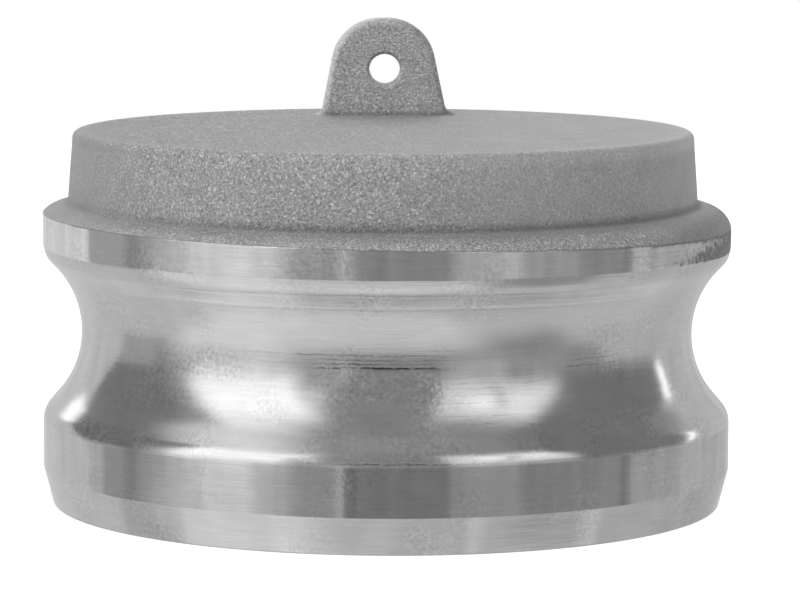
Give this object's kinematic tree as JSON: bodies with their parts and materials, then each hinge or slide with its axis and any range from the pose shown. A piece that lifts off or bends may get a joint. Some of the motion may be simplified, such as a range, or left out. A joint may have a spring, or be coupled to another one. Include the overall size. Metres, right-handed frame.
{
  "type": "cam and groove dust plug",
  "caption": "Cast aluminium plug that closes a cam and groove coupler: grooved turned skirt, open hollow below, flat cap with an upright chain lug.",
  "frame": {"origin": "on the turned axis, in the plane of the open end that the plug stands on", "axes": "+Z along the turned axis from the open end to the cap; the chain lug stands on the +Y side"},
  "size_m": [0.0914, 0.0915, 0.0631],
  "materials": {
    "aluminium_casting": "sand-cast skin on the cap, lug and hollow, turned on the skirt"
  },
  "bodies": {
    "root": {"plug_casting": "aluminium_casting"}
  },
  "joints": []
}
